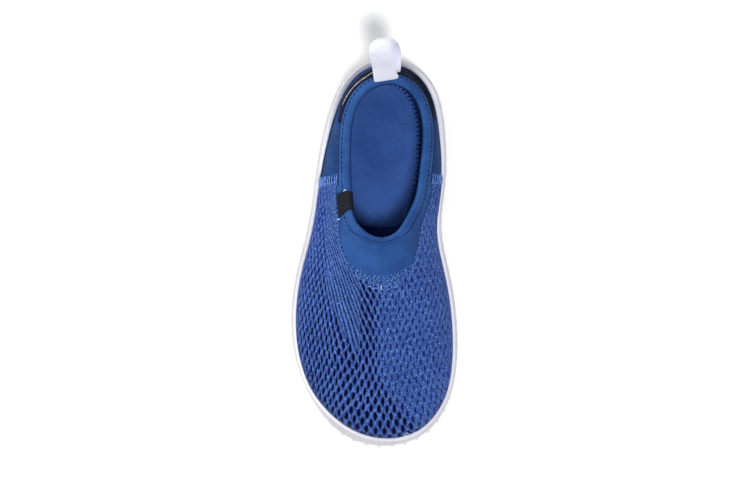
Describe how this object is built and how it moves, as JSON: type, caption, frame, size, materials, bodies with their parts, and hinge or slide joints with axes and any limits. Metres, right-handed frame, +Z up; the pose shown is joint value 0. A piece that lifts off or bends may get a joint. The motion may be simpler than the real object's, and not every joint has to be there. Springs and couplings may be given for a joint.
{
  "type": "water shoe",
  "caption": "Child's slip-on water shoe for the right foot: hollow knit and mesh upper, footbed, pull loop at the heel and a flexible rubber sole with edge studs.",
  "frame": {"origin": "centre of the bounding box at floor level", "axes": "+Y from toe to heel, +X towards the medial side, +Z up"},
  "size_m": [0.0813, 0.1939, 0.0768],
  "materials": {
    "white_rubber": "satin moulded rubber",
    "blue_footbed": "fine textile over foam",
    "blue_knit": "fine ribbed stretch knit",
    "blue_mesh": "thick open spacer mesh",
    "dark_film": "smooth satin film",
    "black_label": "woven label",
    "white_webbing": "woven narrow webbing"
  },
  "bodies": {
    "root": {"outsole": "white_rubber", "insole": "blue_footbed", "upper": "blue_knit", "mesh_vamp": "blue_mesh", "heel_patch": "dark_film", "side_tag": "black_label", "pull_loop": "white_webbing"}
  },
  "joints": []
}
